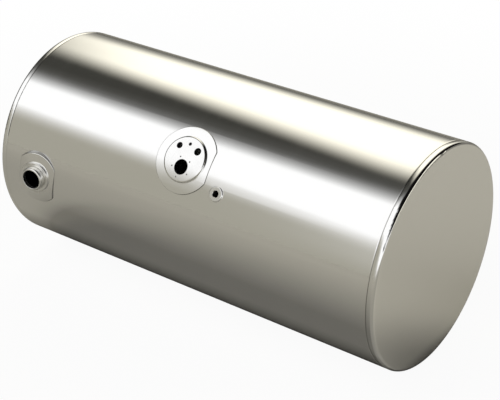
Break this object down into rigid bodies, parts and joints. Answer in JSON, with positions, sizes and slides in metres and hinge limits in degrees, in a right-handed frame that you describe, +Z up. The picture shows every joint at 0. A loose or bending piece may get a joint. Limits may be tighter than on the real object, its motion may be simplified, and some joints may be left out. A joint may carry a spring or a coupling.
{
  "type": "truck fuel tank",
  "caption": "Cylindrical aluminium truck fuel tank with flat heads, a filler neck, a round sender plate with ports, a side port and a drain.",
  "frame": {"origin": "on the barrel's axis, half way between the two flat heads", "axes": "+X along the barrel's axis to the right head as seen from the front, -Y the front with the filler, the sender plate and the side port, +Z up"},
  "size_m": [1.1914, 0.6185, 0.5892],
  "materials": {
    "polished_sheet": "polished",
    "machined_fitting": "machined",
    "inner_sheet": "mill",
    "plug_steel": "plated"
  },
  "bodies": {
    "root": {"barrel": "polished_sheet", "head_right": "polished_sheet", "head_left": "polished_sheet", "baffle_right": "inner_sheet", "baffle_left": "inner_sheet", "filler_ring": "machined_fitting", "filler_neck": "machined_fitting", "sender_plate": "machined_fitting", "draw_tube": "inner_sheet", "return_tube": "inner_sheet", "side_port": "machined_fitting", "drain_boss": "machined_fitting", "drain_plug": "plug_steel"}
  },
  "joints": []
}
